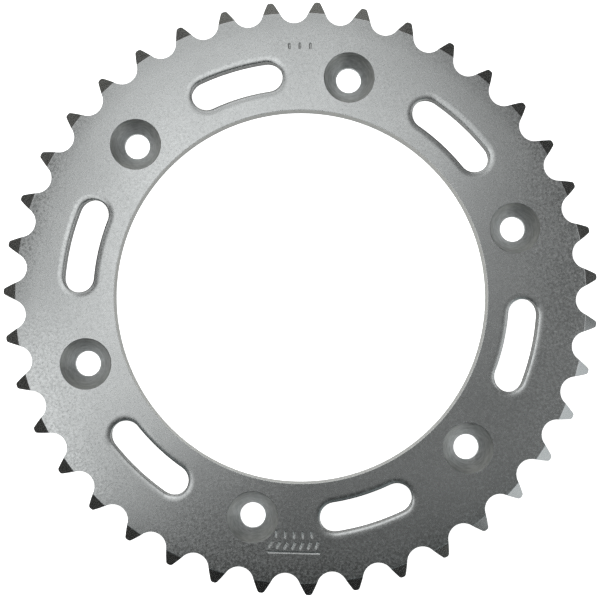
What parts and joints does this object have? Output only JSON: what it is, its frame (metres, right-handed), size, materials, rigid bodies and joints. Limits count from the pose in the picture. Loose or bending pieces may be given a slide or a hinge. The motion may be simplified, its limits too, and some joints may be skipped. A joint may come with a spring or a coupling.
{
  "type": "rear sprocket",
  "caption": "Flat steel rear sprocket for a motorcycle roller chain, with a wide hub bore, a ring of countersunk bolt holes and curved lightening slots.",
  "frame": {"origin": "centre of the hub bore, at the back face that seats on the wheel hub", "axes": "+Z along the bore axis towards the countersunk front face, +X through the middle of one bolt hole and of the tooth gap outside it, +Y completes a right-handed frame"},
  "size_m": [0.2025, 0.2028, 0.0058],
  "materials": {
    "zinc_plated_steel": "satin zinc plate over a blanked and turned steel plate, with a fine even grain"
  },
  "bodies": {
    "root": {"sprocket": "zinc_plated_steel"}
  },
  "joints": []
}
